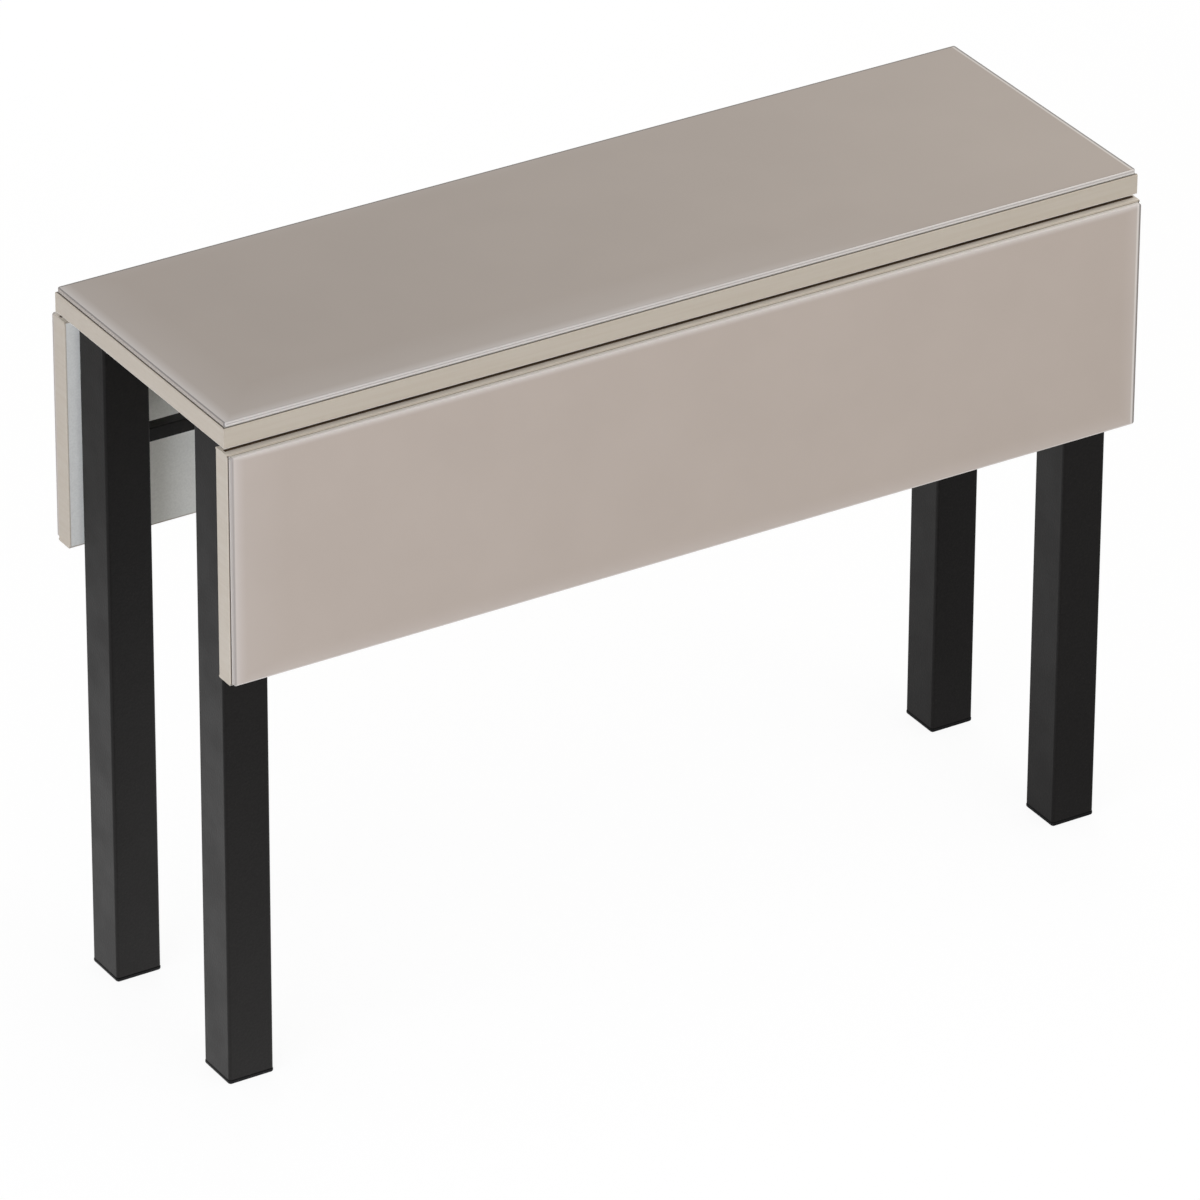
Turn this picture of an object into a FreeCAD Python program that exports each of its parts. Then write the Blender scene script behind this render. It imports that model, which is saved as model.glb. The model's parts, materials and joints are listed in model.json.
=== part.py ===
"""Drop-leaf dining table: a narrow glass-faced top on four square steel legs, with a hinged
leaf hanging along each long side and a folding prop frame that carries each raised leaf.

Millimetres. X runs along the table, Y across it (the front is -Y), Z up.
The origin is on the floor, under the middle of the top. Both leaves hang down.
"""
import FreeCAD, Part
import Sketcher
import os
import re

# Driving dimensions
SIZES = {
    # Whole table
    "table_height": 750,
    "top_length": 1040,
    "top_width": 330,
    "leaf_width": 250,
    # Panels: coated board, edge bands, mounting tape and painted glass
    "board_thick": 22,
    "band_thick": 2,
    "band_round": 1.5,
    "tape_thick": 0.5,
    "tape_width": 14,
    "tape_inset": 9,
    "glass_thick": 5,
    "glass_inset": 1.5,
    "glass_corner": 2.5,
    "glass_arris": 0.7,
    # How a hung leaf stands to the top
    "leaf_proud": 10.5,
    "hung_gap": 4,
    "raised_gap": 2.5,
    # Legs and feet
    "leg_size": 50,
    "leg_wall": 2,
    "leg_corner": 3,
    "leg_end_inset": 10,
    "leg_leaf_gap": 10,
    "foot_rim": 5,
    "plug_depth": 24,
    "plug_clear": 0.3,
    # Flanges that hold the legs to the top
    "plate_length": 100,
    "plate_width": 80,
    "plate_thick": 4,
    "plate_inset": 10,
    "plate_round": 6,
    "plate_screw_inset": 12,
    # Long rails between the legs
    "rail_size": 15,
    "rail_wall": 1.5,
    "rail_round": 1.2,
    "rail_drop": 120,
    # Cranked leaf hinges
    "plate_to_hinge": 46.6,
    "hinge_width": 40,
    "hinge_plate": 3,
    "hinge_round": 5,
    "strap_length": 60,
    "base_length": 46,
    "base_clear": 1.25,
    "crank_thick": 5,
    "knuckle_radius": 4,
    "hinge_pin_radius": 2,
    "hinge_pin_spare": 1.6,
    "ear_thick": 3,
    "ear_gap": 0.4,
    "pocket_clear": 1,
    "hinge_screw_spread": 24,
    "hinge_screw_edge": 11,
    # Prop frames under the leaves
    "hinge_to_lug": 69.2,
    "prop_length": 140,
    "prop_rise": 28,
    "prop_thick": 5,
    "prop_gap": 0.5,
    "rod_radius": 4,
    "sleeve_radius": 6,
    "sleeve_end": 15,
    "rest_gap": 0.3,
    "lug_thick": 4,
    "lug_flange": 32,
    "lug_foot": 3,
    "lug_screw_pitch": 14,
    "prop_pin_radius": 3,
    "prop_pin_head": 5,
    "prop_pin_cap": 1.5,
    # Catch strips and bumpers on the leaves
    "catch_end": 50,
    "catch_width": 22,
    "catch_thick": 2,
    "catch_lip": 1.5,
    "lip_width": 3,
    "lip_reach": 4.6,
    "catch_screw_inset": 30,
    "catch_screw_edge": 6,
    "bumper_size": 20,
    "bumper_rise": 45,
    # Fasteners and running fits
    "screw_radius": 1.75,
    "screw_head_radius": 3.5,
    "screw_head_height": 2,
    "screw_length": 14,
    "hole_clear": 0.1,
    "hole_spare": 1,
    "pin_clear": 0.05,
}

# Values that follow from the driving dimensions. Heights are measured from the floor,
# places along X and depths along Y outwards from the middle of the table.
WORKED_OUT = {
    "panel_thick": "board_thick + tape_thick + glass_thick",
    "underside": "table_height - panel_thick",
    "half_length": "top_length / 2",
    "half_width": "top_width / 2",
    "tape_length": "top_length - 2 * glass_inset - 2 * tape_inset",
    "tape_edge": "glass_inset + tape_inset + tape_width / 2",
    # The leaf turns about one line inside the lower corner of the top. Only this line gives
    # the step of the hung leaf and both gaps with a quarter turn.
    "corner_run": "panel_thick - leaf_proud",
    "axis_inset": "(corner_run + hung_gap - raised_gap) / 2",
    "axis_rise": "corner_run - axis_inset",
    "axis_depth": "half_width - axis_inset",
    "axis_height": "underside + axis_rise",
    "leaf_top": "axis_height - axis_inset - raised_gap",
    "leaf_bottom": "leaf_top - leaf_width",
    "leaf_middle": "leaf_top - leaf_width / 2",
    "leaf_inner": "axis_depth - axis_rise",
    # Legs and their flanges
    "leg_outer": "leaf_inner - leg_leaf_gap",
    "leg_depth": "leg_outer - leg_size / 2",
    "leg_place": "half_length - leg_end_inset - leg_size / 2",
    "leg_inner_place": "leg_place - leg_size / 2",
    "plate_low": "underside - plate_thick",
    "plate_place": "leg_place + leg_size / 2 - plate_inset - plate_length / 2",
    "plate_depth": "leg_outer - plate_inset / 2 - plate_width / 2",
    # Rails
    "rail_top": "underside - rail_drop",
    # Hinges
    "ear_place": "hinge_width / 2 + ear_gap",
    "hinge_half": "ear_place + ear_thick",
    "hinge_place": "plate_place - plate_length / 2 - plate_to_hinge - hinge_half",
    "hinge_low": "underside - hinge_plate",
    "strap_back": "axis_rise + hinge_plate",
    "base_front": "strap_back + base_clear",
    # Prop frames: the arms hang straight down behind the leaf
    "lug_place": "hinge_place - hinge_half - hinge_to_lug - lug_flange",
    "prop_place": "lug_place - ear_gap - prop_thick",
    "prop_depth": "leaf_inner - prop_gap - sleeve_radius",
    "prop_height": "rail_top + prop_rise",
    "prop_tip": "prop_height - prop_length",
    # How far along the raised leaf the prop's crossbar comes to rest
    "tip_drop": "axis_rise + catch_thick + rest_gap + sleeve_radius",
    "pivot_drop": "axis_height - prop_height",
    "pivot_inset": "axis_depth - prop_depth",
    "tip_reach": "sqrt(prop_length ^ 2 - (pivot_drop - tip_drop) ^ 2) - pivot_inset",
    # Catch strips
    "catch_face": "axis_rise + catch_thick",
    "catch_half": "prop_place - catch_end",
    "catch_low": "axis_height - tip_reach - lip_reach - lip_width",
}

LONG_SIDES = {"front": -1, "rear": 1}
ENDS = {"left": -1, "right": 1}
TAPE_STEPS = (-1, -1 / 3, 1 / 3, 1)
AIMS = {
    "+X": (FreeCAD.Vector(0, 1, 0), 90),
    "+Y": (FreeCAD.Vector(1, 0, 0), -90),
    "-Y": (FreeCAD.Vector(1, 0, 0), 90),
    "+Z": (FreeCAD.Vector(1, 0, 0), 0),
    "-Z": (FreeCAD.Vector(1, 0, 0), 180),
}
FIRST_REACH = 10.0
TOLERANCE = 1e-4

doc = FreeCAD.newDocument("DropLeafTable")
sheet = doc.addObject("Spreadsheet::Sheet", "Sizes")
for row, (alias, value) in enumerate(SIZES.items(), start=1):
    sheet.set(f"A{row}", alias)
    sheet.set(f"B{row}", str(value))
    sheet.setAlias(f"B{row}", alias)
doc.recompute()

nodes = {}


# Binding to the sheet
def formula(text):
    """Spells out the worked-out names and points each driving dimension at the sheet."""
    def swap(match):
        word = match.group(0)
        if word in SIZES:
            return "Sizes." + word
        if word in WORKED_OUT:
            return "(" + formula(WORKED_OUT[word]) + ")"
        return word
    return re.sub(r"[a-z_]+", swap, str(text))


def bind(item, **properties):
    for name, text in properties.items():
        item.setExpression(name, formula(text))


def place(item, spot, turn=FreeCAD.Rotation()):
    item.Placement = FreeCAD.Placement(FreeCAD.Vector(), turn)
    for axis, text in zip("xyz", spot):
        item.setExpression(".Placement.Base." + axis, formula(text))


def aimed(aim):
    """The turn that brings +Z to one of the named directions."""
    return FreeCAD.Rotation(*AIMS[aim])


def node(name, item):
    """Gives a finished sub-part its label, which names its file."""
    item.Label = name
    nodes[name] = item


# Plain shapes and booleans
def block(name, size, middle):
    """A box given by its three sizes and its middle."""
    item = doc.addObject("Part::Box", name)
    bind(item, Length=size[0], Width=size[1], Height=size[2])
    place(item, low_corner(size, middle))
    return item


def low_corner(size, middle):
    return [f"{m} - ({s}) / 2" for m, s in zip(middle, size)]


def spanned(spans):
    """The sizes and the middle of a box given by its limits along X, Y and Z."""
    size = [f"{high} - ({low})" for low, high in spans]
    middle = [f"({low} + {high}) / 2" for low, high in spans]
    return size, middle


def between(name, *spans):
    return block(name, *spanned(spans))


def rod(name, radius, length, start, aim):
    item = doc.addObject("Part::Cylinder", name)
    bind(item, Radius=radius, Height=length)
    place(item, start, aimed(aim))
    return item


def joined(name, items):
    item = doc.addObject("Part::MultiFuse", name)
    item.Shapes = items
    item.Refine = True
    return item


def group(name, items):
    item = doc.addObject("Part::Compound", name)
    item.Links = items
    return item


def cut(name, base, tools):
    item = doc.addObject("Part::Cut", name)
    item.Base = base
    item.Tool = group(name + "Tools", tools)
    return item


# Bodies with sketches and dressed edges
def sketch_rings(body, name, sizes):
    """A sketch of rectangles about the origin, the first outside the next."""
    sketch = body.newObject("Sketcher::SketchObject", name)
    floor = next(item for item in body.Origin.OriginFeatures if item.Role == "XY_Plane")
    sketch.AttachmentSupport = (floor, [""])
    sketch.MapMode = "FlatFace"
    for ring, (across, along) in enumerate(sizes, start=1):
        add_ring(sketch, FIRST_REACH / ring, across, along)
    return sketch


def add_ring(sketch, reach, across, along):
    signs = ((-1, -1), (1, -1), (1, 1), (-1, 1))
    corners = [FreeCAD.Vector(x * reach, y * reach, 0) for x, y in signs]
    first = len(sketch.Geometry)
    for start, end in zip(corners, corners[1:] + corners[:1]):
        sketch.addGeometry(Part.LineSegment(start, end), False)
    low, right, high, left = range(first, first + 4)
    for line, following in ((low, right), (right, high), (high, left), (left, low)):
        sketch.addConstraint(Sketcher.Constraint("Coincident", line, 2, following, 1))
    for line in (low, high):
        sketch.addConstraint(Sketcher.Constraint("Horizontal", line))
    for line in (right, left):
        sketch.addConstraint(Sketcher.Constraint("Vertical", line))
    sketch.addConstraint(Sketcher.Constraint("Symmetric", low, 1, right, 2, -1, 1))
    for kind, line, size in (("DistanceX", low, across), ("DistanceY", right, along)):
        number = sketch.addConstraint(Sketcher.Constraint(kind, line, 1, line, 2, 2 * reach))
        sketch.setExpression(f"Constraints[{number}]", formula(size))


def pad(body, name, sketch, length):
    item = body.newObject("PartDesign::Pad", name)
    item.Profile = sketch
    bind(item, Length=length)
    doc.recompute()
    return item


def edges_along(axis, *faces):
    """Picks the edges that run along an axis, and lie in one of the box's faces, such as +z."""
    def wanted(edge, box):
        first = edge.Vertexes[0].Point
        last = edge.Vertexes[-1].Point
        length = (last - first).Length
        if length < TOLERANCE or abs(abs(getattr(last - first, axis)) - length) > TOLERANCE:
            return False
        return not faces or any(lies_in(first, box, face) for face in faces)
    return wanted


def lies_in(point, box, face):
    """Whether a point lies in a face of the box, such as +z."""
    limit = getattr(box, face[1].upper() + ("Max" if face[0] == "+" else "Min"))
    return abs(getattr(point, face[1]) - limit) < TOLERANCE


def dressed(body, name, base, kind, size, wanted):
    """A fillet or a chamfer on the edges of base that wanted picks."""
    item = body.newObject("PartDesign::" + kind, name)
    box = base.Shape.BoundBox
    picked = [number for number, edge in enumerate(base.Shape.Edges, start=1) if wanted(edge, box)]
    item.Base = (base, [f"Edge{number}" for number in picked])
    bind(item, **{"Radius" if kind == "Fillet" else "Size": size})
    doc.recompute()
    return item


def eased_block(name, spans, radius, wanted):
    """A box given by its limits, with the edges that wanted picks rounded."""
    size, middle = spanned(spans)
    body = doc.addObject("PartDesign::Body", name)
    box = body.newObject("PartDesign::AdditiveBox", name + "Box")
    bind(box, Length=size[0], Width=size[1], Height=size[2])
    doc.recompute()
    dressed(body, name + "Eased", box, "Fillet", radius, wanted)
    place(body, low_corner(size, middle))
    return body


def square_tube(name, size, wall, corner, length):
    body = doc.addObject("PartDesign::Body", name)
    bore = f"{size} - 2 * {wall}"
    section = sketch_rings(body, name + "Section", [(size, size), (bore, bore)])
    tube = pad(body, name + "Length", section, length)
    dressed(body, name + "Corners", tube, "Fillet", corner, edges_along("z", "-x", "+x"))
    return body


# Fasteners
def screw(name, spot, aim):
    """A pan-head screw driven along aim, with the underside of its head at spot."""
    axis = "XYZ".index(aim[1])
    away = "-" if aim[0] == "+" else "+"
    top = list(spot)
    top[axis] = f"{spot[axis]} {away} screw_head_height"
    head = rod(name + "Head", "screw_head_radius", "screw_head_height", top, aim)
    shank = rod(name + "Shank", "screw_radius", "screw_length", spot, aim)
    return joined(name, [head, shank])


def fastened(name, spots, aim):
    """The screws for one set of places, and the holes that they go through and into."""
    screws = []
    holes = []
    for number, spot in enumerate(spots):
        screws.append(screw(f"{name}Screw{number}", spot, aim))
        holes.append(rod(f"{name}Hole{number}", "screw_radius + hole_clear",
                         "screw_length + hole_spare", spot, aim))
    return screws, holes


# Panels
def glass(name, width, spot, aim):
    """A toughened pane with rounded corners and ground edges."""
    body = doc.addObject("PartDesign::Body", name)
    size = ("top_length - 2 * glass_inset", f"{width} - 2 * glass_inset")
    slab = pad(body, name + "Slab", sketch_rings(body, name + "Outline", [size]), "glass_thick")
    upright = edges_along("z")
    corners = dressed(body, name + "Corners", slab, "Fillet", "glass_corner", upright)
    dressed(body, name + "Arris", corners, "Chamfer", "glass_arris",
            lambda edge, box: not upright(edge, box))
    place(body, spot, aimed(aim))
    node(name, body)


def band(name, length, outward, across, spot):
    """One edge band with its two long outer edges eased. It faces outward, its width lies across."""
    body = doc.addObject("PartDesign::Body", name)
    outline = sketch_rings(body, name + "Outline", [(length, "board_thick")])
    strip = pad(body, name + "Strip", outline, "band_thick")
    dressed(body, name + "Eased", strip, "Fillet", "band_round", edges_along("x", "+z"))
    face = FreeCAD.Vector(outward)
    width = FreeCAD.Vector(across)
    place(body, spot, FreeCAD.Rotation(width.cross(face), width, face, "ZYX"))
    return body


def top_panel():
    """The top's bands, tape and glass. Returns its board before it is drilled."""
    middle = "underside + board_thick / 2"
    short = "top_width - 2 * band_thick"
    bands = []
    for side, sign in LONG_SIDES.items():
        spot = ["0", f"{sign} * (half_width - band_thick)", middle]
        bands.append(band(f"TopBand_{side}", "top_length", (0, sign, 0), (0, 0, 1), spot))
    for end, way in ENDS.items():
        spot = [f"{way} * (half_length - band_thick)", "0", middle]
        bands.append(band(f"TopBand_{end}", short, (way, 0, 0), (0, 0, 1), spot))
    node("top_edge_bands", group("TopEdgeBands", bands))
    tapes = []
    for number, step in enumerate(TAPE_STEPS):
        spot = ["0", f"{step} * (half_width - tape_edge)", "underside + board_thick + tape_thick / 2"]
        tapes.append(block(f"TopTape{number}", ["tape_length", "tape_width", "tape_thick"], spot))
    node("top_glass_tape", group("TopGlassTape", tapes))
    glass("top_glass", "top_width", ["0", "0", "table_height - glass_thick"], "+Z")
    return block("TopCore", ["top_length - 2 * band_thick", short, "board_thick"], ["0", "0", middle])


def leaf_panel(side, sign):
    """A hung leaf's bands, tape and glass. Returns its board before it is drilled."""
    depth = f"{sign} * (leaf_inner + board_thick / 2)"
    short = "leaf_width - 2 * band_thick"
    bands = []
    for edge, up in (("low", -1), ("high", 1)):
        spot = ["0", depth, f"leaf_middle + {up} * (leaf_width / 2 - band_thick)"]
        bands.append(band(f"LeafBand_{side}_{edge}", "top_length", (0, 0, up), (0, 1, 0), spot))
    for end, way in ENDS.items():
        spot = [f"{way} * (half_length - band_thick)", depth, "leaf_middle"]
        bands.append(band(f"LeafBand_{side}_{end}", short, (way, 0, 0), (0, 1, 0), spot))
    node(f"{side}_leaf_edge_bands", group(f"LeafEdgeBands_{side}", bands))
    tapes = []
    for number, step in enumerate(TAPE_STEPS):
        spot = ["0", f"{sign} * (leaf_inner + board_thick + tape_thick / 2)",
                f"leaf_middle + {step} * (leaf_width / 2 - tape_edge)"]
        tapes.append(block(f"LeafTape_{side}{number}", ["tape_length", "tape_thick", "tape_width"], spot))
    node(f"{side}_leaf_glass_tape", group(f"LeafGlassTape_{side}", tapes))
    pane_back = f"{sign} * (leaf_inner + board_thick + tape_thick)"
    glass(f"{side}_leaf_glass", "leaf_width", ["0", pane_back, "leaf_middle"], "-Y" if sign < 0 else "+Y")
    return block(f"LeafCore_{side}", ["top_length - 2 * band_thick", "board_thick", short],
                 ["0", depth, "leaf_middle"])


# Legs, feet and rails
def leg(corner, way, sign):
    name = f"leg_{corner}"
    tube = square_tube(name, "leg_size", "leg_wall", "leg_corner", "underside - foot_rim")
    place(tube, [f"{way} * leg_place", f"{sign} * leg_depth", "foot_rim"])
    node(name, tube)


def foot(corner, way, sign):
    """A plastic cap: a rim as wide as the leg, under a plug that fills the tube's mouth."""
    name = f"foot_{corner}"
    body = doc.addObject("PartDesign::Body", name)
    outline = sketch_rings(body, name + "Outline", [("leg_size", "leg_size")])
    rim = pad(body, name + "Rim", outline, "foot_rim")
    dressed(body, name + "Corners", rim, "Fillet", "leg_corner", edges_along("z"))
    plug_size = "leg_size - 2 * leg_wall - 2 * plug_clear"
    section = sketch_rings(body, name + "PlugSection", [(plug_size, plug_size)])
    section.setExpression(".AttachmentOffset.Base.z", formula("foot_rim"))
    pad(body, name + "Plug", section, "plug_depth")
    place(body, [f"{way} * leg_place", f"{sign} * leg_depth", "0"])
    node(name, body)


def leg_plate(corner, way, sign):
    """The flange welded round the top of a leg, notched for the tube. Returns screws and holes."""
    across = [f"{way} * plate_place - plate_length / 2", f"{way} * plate_place + plate_length / 2"]
    depth = [f"{sign} * plate_depth - plate_width / 2", f"{sign} * plate_depth + plate_width / 2"]
    sheet_metal = eased_block(f"PlateSheet_{corner}", (across, depth, ("plate_low", "underside")),
                              "plate_round", edges_along("z"))
    notch = block(f"PlateNotch_{corner}", ["leg_size", "leg_size", "2 * plate_thick"],
                  [f"{way} * leg_place", f"{sign} * leg_depth", "plate_low"])
    spots = []
    for x_share, y_share in ((-1, -1), (-1, 0), (-1, 1), (1, -1)):
        spots.append([f"{way} * (plate_place + {x_share} * (plate_length / 2 - plate_screw_inset))",
                      f"{sign} * (plate_depth + {y_share} * (plate_width / 2 - plate_screw_inset))",
                      "plate_low"])
    screws, holes = fastened(f"Plate_{corner}", spots, "+Z")
    node(f"leg_plate_{corner}", cut(f"Plate_{corner}", sheet_metal, holes + [notch]))
    return screws, holes


def rail(side, sign, holes):
    """A square tube welded between the two legs of one long side."""
    tube = square_tube(f"RailTube_{side}", "rail_size", "rail_wall", "rail_round", "2 * leg_inner_place")
    place(tube, ["-leg_inner_place", f"{sign} * leg_depth", "rail_top - rail_size / 2"], aimed("+X"))
    node(f"{side}_rail", cut(f"Rail_{side}", tube, holes))


# Leaf hinges
def depth_at(sign, inward):
    """A place given by its distance inwards from the hinge line."""
    return f"{sign} * (axis_depth - ({inward}))"


def inward_span(sign, near, far):
    """The limits along Y between two distances inwards from the hinge line."""
    return [depth_at(sign, far), depth_at(sign, near)][::sign]


def hinge_span(way, half):
    """The limits along X about the middle of a hinge."""
    return [f"{way} * hinge_place - ({half})", f"{way} * hinge_place + ({half})"]


def hinge_rod(name, sign, way, radius, half):
    """A rod along the hinge line, centred on one hinge."""
    start = [hinge_span(way, half)[0], f"{sign} * axis_depth", "axis_height"]
    return rod(name, radius, f"2 * ({half})", start, "+X")


def hinge_screw_spots(way, rows):
    """Two screw places side by side for each row, which is a depth and a height."""
    spots = []
    for depth, height in rows:
        for across in hinge_span(way, "hinge_screw_spread / 2"):
            spots.append([across, depth, height])
    return spots


def hinge_pocket(side, sign, end, way):
    """The pocket in the underside of the top that the knuckle and its ears sit in."""
    return between(f"Pocket_{side}_{end}",
                   hinge_span(way, "hinge_half + hinge_pin_spare + pocket_clear"),
                   inward_span(sign, "-(knuckle_radius + pocket_clear)", "strap_back + pocket_clear"),
                   ("underside - hole_spare", "axis_height + knuckle_radius + pocket_clear"))


def hinge_base(side, sign, end, way):
    """The fixed half: a plate under the top with two ears that reach up to the pin."""
    name = f"Base_{side}_{end}"
    under = ("hinge_low", "underside")
    under_top = inward_span(sign, "base_front", "base_front + base_length")
    inner_face = "+y" if sign < 0 else "-y"
    pieces = [eased_block(name + "Plate", (hinge_span(way, "hinge_half"), under_top, under),
                          "hinge_round", edges_along("z", inner_face))]
    inner = hinge_span(way, "ear_place")
    outer = hinge_span(way, "hinge_half")
    for cheek, across in (("Left", (outer[0], inner[0])), ("Right", (inner[1], outer[1]))):
        pieces.append(eased_block(f"{name}Ear{cheek}",
                                  (across, inward_span(sign, "-knuckle_radius", "strap_back"),
                                   ("underside", "axis_height + knuckle_radius")),
                                  "knuckle_radius", edges_along("x", "+z")))
        pieces.append(between(f"{name}Root{cheek}", across,
                              inward_span(sign, "hinge_pin_radius", "base_front"), under))
    rows = [(depth_at(sign, f"base_front + {inset}"), "hinge_low")
            for inset in ("hinge_screw_edge", "base_length - hinge_screw_edge")]
    screws, holes = fastened(name, hinge_screw_spots(way, rows), "+Z")
    bore = hinge_rod(name + "Bore", sign, way, "hinge_pin_radius + pin_clear", "hinge_half + hole_spare")
    node(f"{side}_hinge_base_{end}", cut(name, joined(name + "Raw", pieces), holes + [bore]))
    return screws, holes


def hinge_strap(side, sign, end, way):
    """The moving half: a strap on the leaf, cranked up and out to the knuckle."""
    name = f"Strap_{side}_{end}"
    wide = hinge_span(way, "hinge_width / 2")
    crank_top = "axis_height + crank_thick / 2"
    strap = eased_block(name + "Plate", (wide, inward_span(sign, "axis_rise", "strap_back"),
                                         ("leaf_top - strap_length", crank_top)),
                        "hinge_round", edges_along("y", "-z"))
    crank = between(name + "Crank", wide, inward_span(sign, "0", "strap_back"),
                    ("axis_height - crank_thick / 2", crank_top))
    knuckle = hinge_rod(name + "Knuckle", sign, way, "knuckle_radius", "hinge_width / 2")
    bore = hinge_rod(name + "Bore", sign, way, "hinge_pin_radius + pin_clear",
                     "hinge_width / 2 + hole_spare")
    rows = [(depth_at(sign, "strap_back"), f"leaf_top - ({drop})")
            for drop in ("hinge_screw_edge", "strap_length - hinge_screw_edge")]
    screws, holes = fastened(name, hinge_screw_spots(way, rows), "+Y" if sign > 0 else "-Y")
    raw = joined(name + "Raw", [strap, crank, knuckle])
    node(f"{side}_hinge_strap_{end}", cut(name, raw, holes + [bore]))
    return screws, holes


# Prop frames
def outward_span(sign, near, far):
    """The limits between two distances outwards from the middle of the table."""
    return [f"{sign} * ({near})", f"{sign} * ({far})"][::sign]


def prop_rod(name, sign, radius, low, high, height):
    """A rod along X in the plane of a prop frame."""
    return rod(name, radius, f"{high} - ({low})", [low, f"{sign} * prop_depth", height], "+X")


def prop_lug(side, sign, end, way):
    """The angle bracket on the rail that carries one arm of the prop frame."""
    name = f"Lug_{side}_{end}"
    rail_inner = "leg_depth - rail_size / 2"
    cheek = eased_block(name + "Cheek", (outward_span(way, "lug_place", "lug_place + lug_thick"),
                                         outward_span(sign, rail_inner, "prop_depth + sleeve_radius"),
                                         ("rail_top", "prop_height + sleeve_radius")),
                        "sleeve_radius", edges_along("x", "+z"))
    flange = between(name + "Flange", outward_span(way, "lug_place + lug_thick", "lug_place + lug_flange"),
                     outward_span(sign, rail_inner, "leg_depth + rail_size / 2"),
                     ("rail_top", "rail_top + lug_foot"))
    middle = "lug_place + (lug_thick + lug_flange) / 2"
    spots = []
    for step in (-1, 1):
        spots.append([f"{way} * ({middle} + {step} * lug_screw_pitch / 2)",
                      f"{sign} * leg_depth", "rail_top + lug_foot"])
    screws, holes = fastened(name, spots, "-Z")
    low, high = outward_span(way, "lug_place - hole_spare", "lug_place + lug_thick + hole_spare")
    bore = prop_rod(name + "Bore", sign, "prop_pin_radius + pin_clear", low, high, "prop_height")
    node(f"{side}_prop_lug_{end}", cut(name, joined(name + "Raw", [cheek, flange]), holes + [bore]))
    return screws, holes


def prop_pin(side, sign, end, way):
    """A rivet through the lug and the arm, with a head at each end."""
    near = "prop_place - ear_gap"
    far = "lug_place + lug_thick"
    pieces = []
    for part, radius, start, stop in (("Stem", "prop_pin_radius", near, far),
                                      ("Inner", "prop_pin_head", f"{near} - prop_pin_cap", near),
                                      ("Outer", "prop_pin_head", far, f"{far} + prop_pin_cap")):
        low, high = outward_span(way, start, stop)
        pieces.append(prop_rod(f"PropPin{part}_{side}_{end}", sign, radius, low, high, "prop_height"))
    return joined(f"PropPin_{side}_{end}", pieces)


def prop_arm(side, sign, end, way):
    """A flat bar with round ends, hung from its pivot."""
    name = f"Arm_{side}_{end}"
    across = outward_span(way, "prop_place", "prop_place + prop_thick")
    depth = outward_span(sign, "prop_depth - sleeve_radius", "prop_depth + sleeve_radius")
    bar = between(name + "Bar", across, depth, ("prop_tip", "prop_height"))
    ends = [prop_rod(name + part, sign, "sleeve_radius", *across, height)
            for part, height in (("Pivot", "prop_height"), ("Tip", "prop_tip"))]
    bore = prop_rod(name + "Bore", sign, "prop_pin_radius + pin_clear", f"{across[0]} - hole_spare",
                    f"{across[1]} + hole_spare", "prop_height")
    node(f"{side}_prop_arm_{end}", cut(name, joined(name + "Raw", [bar] + ends), [bore]))


def prop_crossbar(side, sign):
    """The rod that ties the two arms together, and the sleeve that the leaf rests on."""
    ends = ("-prop_place", "prop_place")
    node(f"{side}_prop_rod", prop_rod(f"PropRod_{side}", sign, "rod_radius", *ends, "prop_tip"))
    shell = prop_rod(f"SleeveShell_{side}", sign, "sleeve_radius", "sleeve_end - prop_place",
                     "prop_place - sleeve_end", "prop_tip")
    bore = prop_rod(f"SleeveBore_{side}", sign, "rod_radius + pin_clear", *ends, "prop_tip")
    node(f"{side}_prop_sleeve", cut(f"Sleeve_{side}", shell, [bore]))


# Catch strips and bumpers
def catch(side, sign):
    """The strip under a leaf that the prop's sleeve settles on, with a lip on its outer side."""
    name = f"Catch_{side}"
    along = ("-catch_half", "catch_half")
    strip = between(name + "Strip", along, inward_span(sign, "axis_rise", "catch_face"),
                    ("catch_low", "catch_low + catch_width"))
    lip = between(name + "Lip", along, inward_span(sign, "catch_face", "catch_face + catch_lip"),
                  ("catch_low", "catch_low + lip_width"))
    spots = []
    for step in (-1, 0, 1):
        spots.append([f"{step} * (catch_half - catch_screw_inset)", depth_at(sign, "catch_face"),
                      "catch_low + catch_width - catch_screw_edge"])
    screws, holes = fastened(name, spots, "+Y" if sign > 0 else "-Y")
    node(f"{side}_leaf_catch", cut(name, joined(name + "Raw", [strip, lip]), holes))
    return screws, holes


def bumpers(side, sign):
    """Two pads on a leaf that rest against the legs while it hangs."""
    pads = []
    for end, way in ENDS.items():
        spot = [f"{way} * leg_place", f"{sign} * (leaf_inner - leg_leaf_gap / 2)",
                "leaf_bottom + bumper_rise"]
        pads.append(block(f"Bumper_{side}_{end}", ["bumper_size", "leg_leaf_gap", "bumper_size"], spot))
    node(f"{side}_leaf_bumpers", group(f"Bumpers_{side}", pads))


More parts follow.
